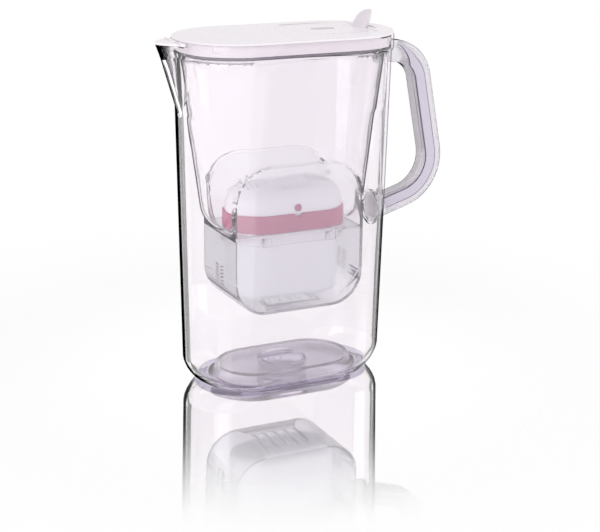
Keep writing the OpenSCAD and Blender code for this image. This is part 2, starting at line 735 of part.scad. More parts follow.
window_x = hinge_x - 38;
module oval(l, w, z0, z1) {
    translate([0, 0, z0]) {
        for (x = [-1, 1]) translate([window_x + x * (l - w) / 2, 0, 0])
            cylinder(d = w, h = z1 - z0, $fn = ROUND_FN);
        translate([window_x - (l - w) / 2, -w / 2, 0]) cube([l - w, w, z1 - z0]);
    }
}
module fill_flap() {
    color("white")
        difference() {
            union() {
                translate([0, 0, flap_z]) linear_extrude(flap_t) flap_plan(0);
                translate([hinge_x, 0, hinge_z]) rotate([90, 0, 0])
                    cylinder(r = knuckle_r, h = 2 * knuckle_half, center = true, $fn = ROUND_FN);
            }
            translate([hinge_x, 0, hinge_z]) rotate([90, 0, 0])
                cylinder(d = pin_d + 2 * pin_fit, h = 2 * knuckle_half + 1, center = true, $fn = ROUND_FN);
            oval(window_l, window_w, flap_z - 1, flap_z + flap_t + 1);
        }
}

// Thumb lever: a petal that leans back towards the handle
lever_z = flap_z + flap_t;
lever_back_root = -1.5;
lever_back_tip = 3.3;
lever_root_t = 9.5;
lever_lean_t = 2.8;
LEVER_N = 12;
LEVER_RING = 24;
function lever_back(t) = hinge_x + lever_back_root + (lever_back_tip - lever_back_root) * pow(t, 1.2);
function lever_depth(t) = (lever_root_t - lever_lean_t * t) * sqrt(1 - pow(t, 6) * 0.8);
function lever_half(t) = lever_w / 2 * sqrt(max(0, 1 - pow(t, 3.2) * 0.96));
module thumb_lever() {
    color([0.87, 0.84, 0.87])
        loft([for (i = [0:LEVER_N]) let(t = sin(90 * i / LEVER_N), d = lever_depth(t) / 2)
            [for (k = [0:LEVER_RING - 1]) let(a = 360 * k / LEVER_RING)
                [lever_back(t) - d + d * cos(a), lever_half(t) * sin(a), lever_z + lever_h * t]]]);
}

housing_h = 4.5;
module indicator_housing() {
    color("whitesmoke")
        difference() {
            oval(window_l + 3, window_w + 3, flap_z - housing_h, flap_z);
            oval(window_l - 0.4, window_w - 0.4, flap_z - housing_h + 1.2, flap_z + 1);
        }
}
module indicator_window() {
    color([0.9, 0.88, 0.91, 0.8])
        oval(window_l - 0.1, window_w - 0.1, flap_z, flap_z + flap_t - 0.25);
}

// Spout flap: a tongue over the spout, hinged at the end of the cover
spout_hinge_x = -(half_straight + collar_r + 0.9);
spout_hinge_z = rim_height - 1;
spout_knuckle_r = 1.4;
spout_pin_d = 1.2;
spout_knuckle_half = 6;
spout_pin_half = spout_knuckle_half + 4;
seam_in = 1.7;
seam_out = 2.1;
tongue_t = 1.7;
tongue_z = rim_height - spout_drop + 0.2;
tongue_share = 0.8;
bridge_half = 14;
TONGUE_N = 20;
function tongue_point(u) = [-half_straight - sqrt(pow(collar_r, 2) - pow(u * spout_half_w, 2))
    - (spout_tip(rim_height) - half_straight - collar_r - 0.3) * (1 - soft(abs(u))), u * spout_half_w];
module tongue_plan() {
    polygon([for (i = [-TONGUE_N:TONGUE_N]) tongue_point(tongue_share * i / TONGUE_N)]);
}
// Round bar along the spout flap's hinge line
module spout_bar(r, half) {
    translate([spout_hinge_x, 0, spout_hinge_z]) rotate([90, 0, 0])
        cylinder(r = r, h = 2 * half, center = true, $fn = ROUND_FN);
}
module spout_flap() {
    neck = seam_out + 1;
    color("white")
        difference() {
            union() {
                translate([0, 0, tongue_z]) linear_extrude(tongue_t)
                    intersection() {
                        tongue_plan();
                        translate([spout_hinge_x - seam_out - DEEP, -DEEP / 2]) square([DEEP, DEEP]);
                    }
                translate([spout_hinge_x - neck, -spout_knuckle_half, tongue_z])
                    cube([neck, 2 * spout_knuckle_half, tongue_t]);
                spout_bar(spout_knuckle_r, spout_knuckle_half);
            }
            spout_bar(spout_pin_d / 2 + pin_fit, spout_knuckle_half + 1);
        }
}
module spout_flap_pin() {
    color("silver") spout_bar(spout_pin_d / 2, spout_pin_half);
}
// Fixed part of the tongue, which reaches from the ring to the flap and holds the flap's pin
module spout_shelf() {
    slot_half = spout_knuckle_half + 0.3;
    slot_end = spout_hinge_x + spout_knuckle_r + flap_gap;
    bridge_start = tongue_point(tongue_share)[0] - 1;
    bridge_end = -half_straight - ring_r + ring_t * 1.5;
    translate([0, 0, tongue_z]) linear_extrude(cover_z - tongue_z)
        difference() {
            union() {
                tongue_plan();
                translate([bridge_start, -bridge_half])
                    square([bridge_end - bridge_start, 2 * bridge_half]);
            }
            translate([spout_hinge_x - seam_in - DEEP, -DEEP / 2]) square([DEEP, DEEP]);
            translate([slot_end - DEEP, -slot_half]) square([DEEP, 2 * slot_half]);
        }
}

jug();
handle();
handle_inlay_front();
handle_inlay_rear();
funnel();
filter_pocket();
cartridge_cup();
cartridge_dome();
seal_ring();
vent_button();
inlet_sieve();
filter_granulate();
outlet_sieve();
lid_cover();
lid_ring();
fill_flap();
thumb_lever();
fill_flap_pin();
spout_flap();
spout_flap_pin();
indicator_housing();
indicator_window();
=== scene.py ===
"""Looks of a slim water filter pitcher with a flip lid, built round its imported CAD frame."""

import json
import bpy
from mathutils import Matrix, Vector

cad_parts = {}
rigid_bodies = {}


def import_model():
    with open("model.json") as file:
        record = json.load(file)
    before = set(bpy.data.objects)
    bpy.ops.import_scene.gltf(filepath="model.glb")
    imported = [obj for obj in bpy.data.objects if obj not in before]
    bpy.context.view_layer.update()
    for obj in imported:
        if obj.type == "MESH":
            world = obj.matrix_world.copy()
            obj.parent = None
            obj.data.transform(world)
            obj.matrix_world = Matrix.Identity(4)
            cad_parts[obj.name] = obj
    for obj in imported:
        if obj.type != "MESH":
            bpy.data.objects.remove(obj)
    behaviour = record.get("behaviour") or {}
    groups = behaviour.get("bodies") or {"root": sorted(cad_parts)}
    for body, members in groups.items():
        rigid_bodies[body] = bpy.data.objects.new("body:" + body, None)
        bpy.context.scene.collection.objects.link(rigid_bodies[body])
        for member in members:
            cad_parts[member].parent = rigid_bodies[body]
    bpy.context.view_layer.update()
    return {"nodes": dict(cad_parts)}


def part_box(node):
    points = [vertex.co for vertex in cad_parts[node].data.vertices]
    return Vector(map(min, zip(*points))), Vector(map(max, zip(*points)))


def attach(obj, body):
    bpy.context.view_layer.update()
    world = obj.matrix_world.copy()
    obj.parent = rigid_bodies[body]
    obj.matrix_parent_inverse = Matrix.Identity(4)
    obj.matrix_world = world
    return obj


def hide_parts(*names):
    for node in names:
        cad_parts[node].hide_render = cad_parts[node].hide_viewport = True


bl_info = {
    "name": "Water filter pitcher",
    "version": (1, 0, 0),
    "blender": (4, 5, 0),
    "location": "3D View > Sidebar > Pitcher",
    "description": "Builds a clear filter pitcher, its cartridge, its flip lid and a pale stage",
    "category": "Object",
}

from math import cos, pi, radians, sin, tan

import bmesh
import bpy
from bpy.props import FloatProperty, FloatVectorProperty, IntProperty, PointerProperty
from mathutils import Matrix, Vector

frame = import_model()
pocket_low, pocket_high = (Vector(corner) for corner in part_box("filter_pocket"))

MM = 0.001
MERGE = 0.002 * MM  # points nearer than this are one
TOUCH = 0.1 * MM  # faces nearer than this are in one plane
SHARP = radians(20)  # edges that turn more than this stay sharp
WHITE = (1, 1, 1, 1)

# How much of a face's normal points along one axis
EXACTLY, MOSTLY, HALF, SLIGHTLY, HARDLY = 0.999, 0.9, 0.5, 0.4, 0.3


def length(name, text, default):
    return FloatProperty(name=name, description=text, default=default, unit="LENGTH", precision=5)


def share(name, text, default):
    return FloatProperty(name=name, description=text, default=default, min=0, max=1, subtype="FACTOR")


def angle(name, text, default):
    return FloatProperty(name=name, description=text, default=radians(default), unit="ROTATION")


def level(name, text, default):
    return FloatProperty(name=name, description=text, default=default, min=0)


def flat_point(name, text, default):
    return FloatVectorProperty(name=name, description=text, default=default, size=2, unit="LENGTH")


def tint(name, text, default):
    return FloatVectorProperty(name=name, description=text, default=default,
                               subtype="COLOR", size=3, min=0, max=1)


class PitcherPlastics(bpy.types.PropertyGroup):
    clear: tint("Clear plastic", "Tint of the jug", (0.964, 0.940, 0.962))
    funnel: tint("Funnel plastic", "Tint of the funnel", (0.99, 0.975, 0.99))
    handle: tint("Handle plastic", "Colour of the handle", (0.93, 0.91, 0.94))
    # Painted shade: the near-black that clear plastic lets through along its outlines, in place of the dark
    # edges that refraction shows
    outline: tint("Outlines", "What clear plastic lets through along its outlines", (0.012, 0.006, 0.016))
    # Painted light: a lighter line painted along the jug's outlines beside the grip, where the handle lights
    # it from the side
    handle_lit_outline: tint("Outline at the handle", "Outline of the jug where the handle lights it",
                      (0.48, 0.44, 0.53))
    foot: tint("Foot", "Tint of the raised middle of the jug's floor", (0.88, 0.85, 0.91))
    # Painted shade: dark violet on the foot ring's underside and lower side, in place of the dark line that
    # refraction shows there
    base: tint("Base", "Tint of the ring that the jug stands on", (0.40, 0.35, 0.50))
    # Painted shade: near-black on the jug's ledge and the funnel's flange, in place of the dark line that
    # refraction shows where the funnel hangs
    ledge: tint("Ledge", "Tint of the seam where the funnel hangs in the jug", (0.05, 0.04, 0.065))
    # Painted shade: darker on the side walls of the pocket's vents, where shade falls in the slots
    vent: tint("Vents", "Tint of the edges of the pocket's vents", (0.45, 0.42, 0.50))
    grip_inside: tint("Grip's inside", "Near white of the side of the grip that faces the jug",
                      (0.93, 0.90, 0.93))
    inlay: tint("Handle inlays", "Lavender grey of the handle's side inlays", (0.62, 0.58, 0.68))
    # Painted shadow: a dark line painted along both edges of the inlays' band
    seam: tint("Inlay seam", "Shadow along the inlays' edges", (0.16, 0.13, 0.21))
    milky: tint("Pocket plastic", "Colour of the milky filter pocket", (0.97, 0.97, 0.99))
    lid: tint("Lid plastic", "White of the lid and its flaps", (0.87, 0.82, 0.865))
    # Painted shade: the lever is painted greyer than the lid, for the shade on its face
    lever: tint("Lever plastic", "Light grey of the thumb lever", (0.74, 0.69, 0.74))
    cartridge: tint("Cartridge plastic", "White of the cartridge's housing", (0.86, 0.86, 0.89))
    seal: tint("Seal", "Pink of the seal ring and the vent button", (0.45, 0.06, 0.17))
    granules: tint("Granules", "Dark grains of the filter filling", (0.05, 0.047, 0.045))
    steel: tint("Pins", "Ground steel of the hinge pins", (0.62, 0.62, 0.64))
    lens: tint("Indicator lens", "Grey of the change indicator's window", (0.45, 0.43, 0.47))
    pocket_clear: share("Pocket clearness", "How much light goes straight through the pocket", 0.88)
    pocket_haze: share("Pocket haze", "How much the milky pocket blurs what is behind it", 0.2)


class PitcherStage(bpy.types.PropertyGroup):
    camera_turn: angle("Camera turn", "How far the camera stands to the left of the front", 26.456)
    camera_pitch: angle("Camera pitch", "How far the camera looks down", 17.211)
    camera_roll: angle("Camera roll", "Tilt of the camera about its own line of sight", 0.767)
    camera_distance: length("Camera distance", "From the camera to the point that it looks at", 1.17324)
    aim_side: length("Aim sideways", "Sideways place of the point that the camera looks at", 0.01402)
    aim_height: length("Aim height", "Height of the point that the camera looks at", 0.08592)
    lens: FloatProperty(name="Lens", description="Focal length of the camera", default=90, unit="CAMERA")
    sky: level("Sky", "Level of the light from all round", 0.8)
    key: level("Softbox", "Power of the softbox at the left, in watts", 4.5)
    fill: level("Fill", "Power of the lamp at the right, in watts", 2.5)
    mirror_reach: length("Mirror reach", "Distance over which the floor's reflection fades", 0.285)
    mirror: share("Mirror", "Strength of the floor's reflection at the foot", 0.97)
    # Painted highlight: a patch of floor that glows only in gloss paints a bright reflection on the jug
    sheet_edge: angle("Sheet edge", "Direction of the right edge of the lit sheet before the jug", -63.5)
    sheet_start: flat_point("Sheet start", "Where that edge starts, on the floor", (-0.068, -0.044))
    highlight_glow_level: level("Sheet level", "Brightness of the lit sheet in gloss", 1.8)


# Shader nodes, for a material or the world


def add_node(owner, kind, place=(0, 0), **values):
    made = owner.node_tree.nodes.new("ShaderNode" + kind)
    made.location = place
    for key, value in values.items():
        setattr(made, key, value)
    return made


def wire(owner, source, target):
    owner.node_tree.links.new(source, target)


def set_inputs(made, values):
    for key, value in values.items():
        made.inputs[key].default_value = value
    return made


def rgba(colour):
    return (*colour, 1)


def scaled(colour, factor):
    return [factor * c for c in colour]


def slant_tint_and_shade(colour, *steps):
    """Stops for by_slant, from (slant, share of the colour) pairs: a darker tint aslant in clear plastic, and
    painted shade towards the outlines in milky plastic.
    """
    return [(slant, scaled(colour, factor)) for slant, factor in steps]


def both(owner, one, other, operation="MULTIPLY", place=(0, 300)):
    made = add_node(owner, "Math", place, operation=operation)
    wire(owner, one, made.inputs[0])
    wire(owner, other, made.inputs[1])
    return made.outputs[0]


def remap(owner, value, source, target, place=(-500, 0), curve="LINEAR"):
    """Carries a value from the range source to the range target, held at both ends."""
    made = add_node(owner, "MapRange", place, interpolation_type=curve)
    set_inputs(made, {"From Min": source[0], "From Max": source[1],
                      "To Min": target[0], "To Max": target[1]})
    wire(owner, value, made.inputs["Value"])
    return made.outputs["Result"]


def rise(owner, value, start, full, place=(-700, 0)):
    """0 below start, 1 above full, and smooth between."""
    return remap(owner, value, (start, full), (0.0, 1.0), place, "SMOOTHSTEP")


def any_ray(owner, *kinds, place=(-300, 500)):
    """1 for rays of these kinds, else 0."""
    path = add_node(owner, "LightPath", place)
    seen = path.outputs[f"Is {kinds[0]} Ray"]
    for kind in kinds[1:]:
        seen = both(owner, seen, path.outputs[f"Is {kind} Ray"], "MAXIMUM", (place[0] + 200, place[1]))
    return seen


def object_axes(material, place):
    """X, Y and Z of the piece's own coordinates, in metres."""
    where = add_node(material, "TexCoord", place)
    parts = add_node(material, "SeparateXYZ", (place[0] + 200, place[1]))
    wire(material, where.outputs["Object"], parts.inputs[0])
    return parts.outputs


def mix_shaders(owner, factor, one, other, place):
    made = add_node(owner, "MixShader", place)
    wire(owner, factor, made.inputs[0])
    wire(owner, one.outputs[0], made.inputs[1])
    wire(owner, other.outputs[0], made.inputs[2])
    return made


def show(owner, shader, kind="OutputMaterial"):
    out = add_node(owner, kind, (900, 0))
    wire(owner, shader.outputs[0], out.inputs["Surface"])


# Materials


def new_material(name):
    material = bpy.data.materials.new(name)
    material.use_nodes = True
    material.node_tree.nodes.clear()
    return material


def grain(material, scale, detail, height):
    """Noise on the piece's own coordinates."""
    place = add_node(material, "TexCoord", (-900, height))
    noise = set_inputs(add_node(material, "TexNoise", (-700, height)), {"Scale": scale, "Detail": detail})
    wire(material, place.outputs["Object"], noise.inputs["Vector"])
    return noise.outputs["Fac"]


def uneven_polish(material, shader, scale, low, high):
    """Roughness that wanders between two values."""
    noise = grain(material, scale, 2, -300)
    noise_range = (0.3, 0.7)
    rough = remap(material, noise, noise_range, (low, high), (-500, -300))
    wire(material, rough, shader.inputs["Roughness"])


def mould_bump(material, shader, strength):
    """The faint unevenness of a moulded surface."""
    bump = set_inputs(add_node(material, "Bump", (-300, -700)),
                      {"Distance": 0.02 * MM, "Strength": strength})
    wire(material, grain(material, 140, 3, -700), bump.inputs["Height"])
    wire(material, bump.outputs["Normal"], shader.inputs["Normal"])


def by_slant(material, stops, place=(-700, 100)):
    """A colour that depends on how steeply the surface is seen, from 0, face on, to 1, edge on; it carries
    the clear plastics' tint and the painted shade and painted light along outlines.
    """
    weight = set_inputs(add_node(material, "LayerWeight", place), {"Blend": 0.5})
    ramp = add_node(material, "ValToRGB", (place[0] + 200, place[1]))
    elements = ramp.color_ramp.elements
    while len(elements) < len(stops):
        elements.new(0.5)
    for element, (position, colour) in zip(elements, stops):
        element.position, element.color = position, rgba(colour)
    wire(material, weight.outputs["Facing"], ramp.inputs["Fac"])
    return ramp.outputs["Color"]


def curved_ends(material, start, full):
    """Mask of what lies further than start to the left or the right of the middle."""
    side = add_node(material, "Math", (-1100, 700), operation="ABSOLUTE")
    wire(material, object_axes(material, (-1500, 700))["X"], side.inputs[0])
    return rise(material, side.outputs[0], start, full, (-900, 700))


def handle_light_mask(material):
    """Mask of the jug's wall beside the grip, where the dark line is painted lighter, as painted light from
    the handle.
    """
    axes = object_axes(material, (-1400, -1000))
    right = rise(material, axes["X"], 55 * MM, 62 * MM, (-1000, -900))
    high = rise(material, axes["Z"], 122 * MM, 134 * MM, (-1000, -1200))
    return both(material, right, high, place=(-800, -1000))


def let_lamps_in(material, shader, colour, lamp_tint, outlines, near=None, ends=None):
    """Lets lamps and bounced light through, and paints by slant the dark outlines that clear plastic shows on
    white, as painted shade.

    lamp_tint is the least light let through and what the piece's colour adds. outlines is (line colour,
    slant at which the painted dark line starts, slant at which it is full); near is the same for the wall
    beside the handle, where the line is painted lighter, as painted light from the handle at the side.
    ends is where the curved ends start and where they count in full, because a flat wall of even
    thickness shows no such line.
    """
    line, start, full = outlines
    least, added = lamp_tint
    lamp_colour = [least + added * c for c in colour]
    passed = by_slant(material, ((start, lamp_colour), (full, line)), (-700, -500))
    # Painted light: beside the handle the line is painted lighter
    if near is not None:
        near_line, near_start, near_full = near
        lit = by_slant(material, ((near_start, lamp_colour), (near_full, near_line)), (-700, -800))
        blend = add_node(material, "Mix", (-200, -600), data_type="RGBA")
        wire(material, handle_light_mask(material), blend.inputs["Factor"])
        wire(material, passed, blend.inputs["A"])
        wire(material, lit, blend.inputs["B"])
        passed = blend.outputs["Result"]
    through = add_node(material, "BsdfTransparent", (0, -500))
    wire(material, passed, through.inputs["Color"])
    edge = by_slant(material, ((start, (0, 0, 0)), (full, (1, 1, 1))), (-500, 400))
    if ends is not None:
        edge = both(material, edge, curved_ends(material, *ends), place=(-100, 400))
    open_way = both(material, any_ray(material, "Shadow", "Diffuse"), edge, "MAXIMUM")
    show(material, mix_shaders(material, open_way, shader, through, (400, 0)))


def clear_plastic(name, colour, outlines, near=None, ends=None, roughness=0.004):
    """Polished clear plastic: a darker tint where it is seen aslant, painted dark outlines as painted shade,
    and open to lamps.
    """
    material = new_material(name)
    glass = set_inputs(add_node(material, "BsdfPrincipled"),
                       {"Roughness": roughness, "IOR": 1.46, "Transmission Weight": 1.0})
    stops = slant_tint_and_shade(colour, (0.45, 1), (0.6, 0.9), (0.74, 0.78))
    wire(material, by_slant(material, stops), glass.inputs["Base Color"])
    let_lamps_in(material, glass, colour, (0.5, 0.5), outlines, near, ends)
    return material


def milky_plastic(name, colour, clear, haze, outlines, stops=None):
    """Milky clear plastic: it blurs what is behind it, scatters part of the light, and is painted darker
    towards its outlines, as painted shade.
    """
    material = new_material(name)
    body = set_inputs(add_node(material, "BsdfPrincipled"), {"IOR": 1.3, "Transmission Weight": clear})
    uneven_polish(material, body, 900, haze - 0.015, haze + 0.015)
    # Painted shade: by default the colour darkens towards the outlines
    stops = stops or slant_tint_and_shade(colour, (0.25, 1), (0.58, 0.72), (0.8, 0.5))
    wire(material, by_slant(material, stops), body.inputs["Base Color"])
    let_lamps_in(material, body, colour, (0.4, 0.55), outlines)
    return material


def joint_plastic(name):
    """Where two pieces of one plastic touch: nothing is seen of it."""
    material = new_material(name)
    show(material, set_inputs(add_node(material, "BsdfPrincipled"), {"Alpha": 0.0}))
    return material


def opaque_plastic(name, colour, roughness, bump=0.0):
    """Opaque moulded plastic with uneven polish."""
    material = new_material(name)
    body = set_inputs(add_node(material, "BsdfPrincipled"), {"Base Color": rgba(colour), "IOR": 1.49})
    uneven_polish(material, body, 1400, roughness - 0.02, roughness + 0.03)
    if bump:
        mould_bump(material, body, bump)
    show(material, body)
    return material


def clear_materials(look):
    # The line colour is painted shade along every clear plastic's outlines
    line = look.outline
    return {
        "clear": clear_plastic("Clear_plastic", look.clear, (line, 0.65, 0.70),
                               # Painted light: the line beside the handle is painted lighter
                               near=(look.handle_lit_outline, 0.78, 0.92), ends=(58 * MM, 74 * MM)),
        "base": clear_plastic("Base_painted_shade", look.base, (scaled(line, 4), 0.80, 0.90)),
        "ledge": clear_plastic("Ledge_painted_shade", look.ledge, (scaled(line, 2), 0.54, 0.64)),
        "vent": clear_plastic("Vent_painted_shade", look.vent, (scaled(line, 10), 0.7, 0.9), roughness=0.2),
        # Painted shade: wider dark outlines on the spout, and its thick nose painted near-black at almost
        # every slant, in place of what refraction shows there
        "spout": clear_plastic("Spout_plastic", look.clear, (scaled(line, 2), 0.48, 0.60)),
        "spout_tip": clear_plastic("Spout_tip_painted_shade", look.clear, (line, 0.05, 0.35)),
        "funnel": clear_plastic("Funnel_plastic", look.funnel, (scaled(line, 6), 0.69, 0.79),
                                ends=(43 * MM, 53 * MM)),
    }


def milky_materials(look):
    line = look.outline
    pocket = {"clear": look.pocket_clear, "haze": look.pocket_haze}
    return {
        # Every milky plastic gets painted dark outlines, and all but the handle are painted darker towards
        # their outlines by slant, as painted shade
        "foot": milky_plastic("Foot_plastic", look.foot, clear=0.92, haze=0.22,
                              outlines=(scaled(line, 16), 0.92, 0.98),
                              stops=slant_tint_and_shade(look.foot, (0.3, 1), (0.66, 0.92), (0.9, 0.6))),
        "handle": milky_plastic("Handle_plastic", look.handle, clear=0.62, haze=0.12,
                                outlines=(scaled(line, 8), 0.78, 0.86),
                                # Painted light and shade: the handle is painted white at middle slant, as a
                                # painted sheen, and darker towards its outlines
                                stops=((0.2, look.handle), (0.45, (1, 1, 1)),
                                       (0.8, scaled(look.handle, 0.6)))),
        "grip_inside": milky_plastic("Grip_inside_plastic", look.grip_inside, clear=0.3, haze=0.12,
                                     outlines=(scaled(line, 2.5), 0.72, 0.82),
                                     stops=slant_tint_and_shade(look.grip_inside, (0.5, 1), (0.8, 0.7))),
        "milky": milky_plastic("Milky_plastic", look.milky, **pocket,
                               outlines=(scaled(line, 10), 0.72, 0.82)),
        "milky_floor": milky_plastic("Milky_floor_plastic", look.milky, **pocket,
                                     outlines=(scaled(line, 16), 0.90, 0.98),
                                     stops=slant_tint_and_shade(look.milky, (0.5, 1), (0.9, 0.8))),
        "joint": joint_plastic("Joint_plastic"),
    }


def opaque_materials(look):
    return {
        "inlay": opaque_plastic("Inlay_plastic", look.inlay, 0.25),
        # Painted shadow along the inlays' edges
        "seam": opaque_plastic("Inlay_seam_painted_shadow", look.seam, 0.35),
        "lid": opaque_plastic("Lid_plastic", look.lid, 0.28),
        # Painted shade: greyer than the lid, for the shade on the lever's face
        "lever": opaque_plastic("Lever_painted_shade", look.lever, 0.25),
        "cartridge": opaque_plastic("Cartridge_plastic", look.cartridge, 0.45),
        "seal": opaque_plastic("Seal_silicone", look.seal, 0.4),
        "sieve": opaque_plastic("Sieve_plastic", look.cartridge, 0.6, bump=0.3),
        "granules": opaque_plastic("Granules", look.granules, 0.7, bump=1.0),
        "steel": opaque_plastic("Ground_steel", look.steel, 0.3),
        "window": opaque_plastic("Window_plastic", look.lens, 0.15),
    }


materials = {}


def material_of(finish):
    if not materials:
        look = bpy.context.scene.pitcher_plastics
        materials.update(clear_materials(look) | milky_materials(look) | opaque_materials(look))
    return materials[finish]


# Meshes


def merged_copy(node):
    """A bmesh of a CAD node's skin, with its loose triangles merged."""
    bm = bmesh.new()
    bm.from_mesh(frame["nodes"][node].data)
    bmesh.ops.remove_doubles(bm, verts=bm.verts, dist=MERGE)
    bmesh.ops.dissolve_degenerate(bm, edges=bm.edges, dist=MERGE)
    bmesh.ops.recalc_face_normals(bm, faces=bm.faces)
    return bm


def new_verts(geom):
    return [v for v in geom if isinstance(v, bmesh.types.BMVert)]


def to_object(bm, name):
    mesh = bpy.data.meshes.new(name)
    bm.to_mesh(mesh)
    bm.free()
    made = bpy.data.objects.new(name, mesh)
    bpy.context.scene.collection.objects.link(made)
    return made


def paint(bm, finishes, finish_at):
    """Gives each face the finish that finish_at names for it."""
    for face in bm.faces:
        face.material_index = finishes.index(finish_at(face))


def dress(bm, name, body, finishes, node):
    """Makes a piece of the mesh, smooth but for its sharp edges, in place of a CAD node."""
    made = to_object(bm, name)
    made.data.shade_smooth()
    made.data.set_sharp_from_angle(angle=SHARP)
    even = made.modifiers.new("Even shading", "WEIGHTED_NORMAL")
    even.keep_sharp, even.weight = True, 100
    for finish in finishes:
        made.data.materials.append(material_of(finish))
    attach(made, body)
    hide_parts(node)


def skin(node, name, body, finish):
    dress(merged_copy(node), name, body, (finish,), node)


# Pieces


class PITCHER_OT_jug(bpy.types.Operator):
    """Makes the clear jug with its collar, spout, punt and handle socket"""

    bl_idname = "pitcher.jug"
    bl_label = "Jug"

    punt_top: length("Punt top", "Height under which the middle of the floor is hazy", 13 * MM)
    punt_half: length("Punt half length", "Half the straight length of the floor's raised middle", 29 * MM)
    punt_round: length("Punt radius", "Radius of the ends of the floor's raised middle", 33.4 * MM)
    base_top: length("Base top", "Height under which the foot's ring is one dark line", 2.6 * MM)
    ledge: length("Ledge", "Height of the ledge that carries the funnel", 256.5 * MM)
    spout_start: length("Spout start", "X at which the spout leaves the wall", -86.4 * MM)
    spout_tip: length("Spout tip", "X beyond which the spout's nose is thick", -95 * MM)
    tip_depth: length("Tip depth", "How far below the ledge the nose is thick", 3 * MM)

    def finish_at(self, face):
        middle = face.calc_center_median()
        reach = Vector((max(abs(middle.x) - self.punt_half, 0), middle.y)).length
        if middle.z < self.punt_top and reach < self.punt_round:
            return "foot"
        # The foot ring takes the painted dark line
        if middle.z < self.base_top and face.normal.z < HARDLY:
            return "base"
        # The ledge's top face takes the painted dark line
        if abs(middle.z - self.ledge) < TOUCH and face.normal.z > MOSTLY:
            return "ledge"
        if middle.x < self.spout_start:
            # Painted shade: the thick nose takes near-black
            thick = middle.x < self.spout_tip and middle.z > self.ledge - self.tip_depth
            return "spout_tip" if thick else "spout"
        return "clear"

    def execute(self, context):
        bm = merged_copy("jug")
        finishes = ("clear", "foot", "ledge", "spout", "spout_tip", "base")
        paint(bm, finishes, self.finish_at)
        dress(bm, "jug_shell", "jug_body", finishes, "jug")
        return {"FINISHED"}


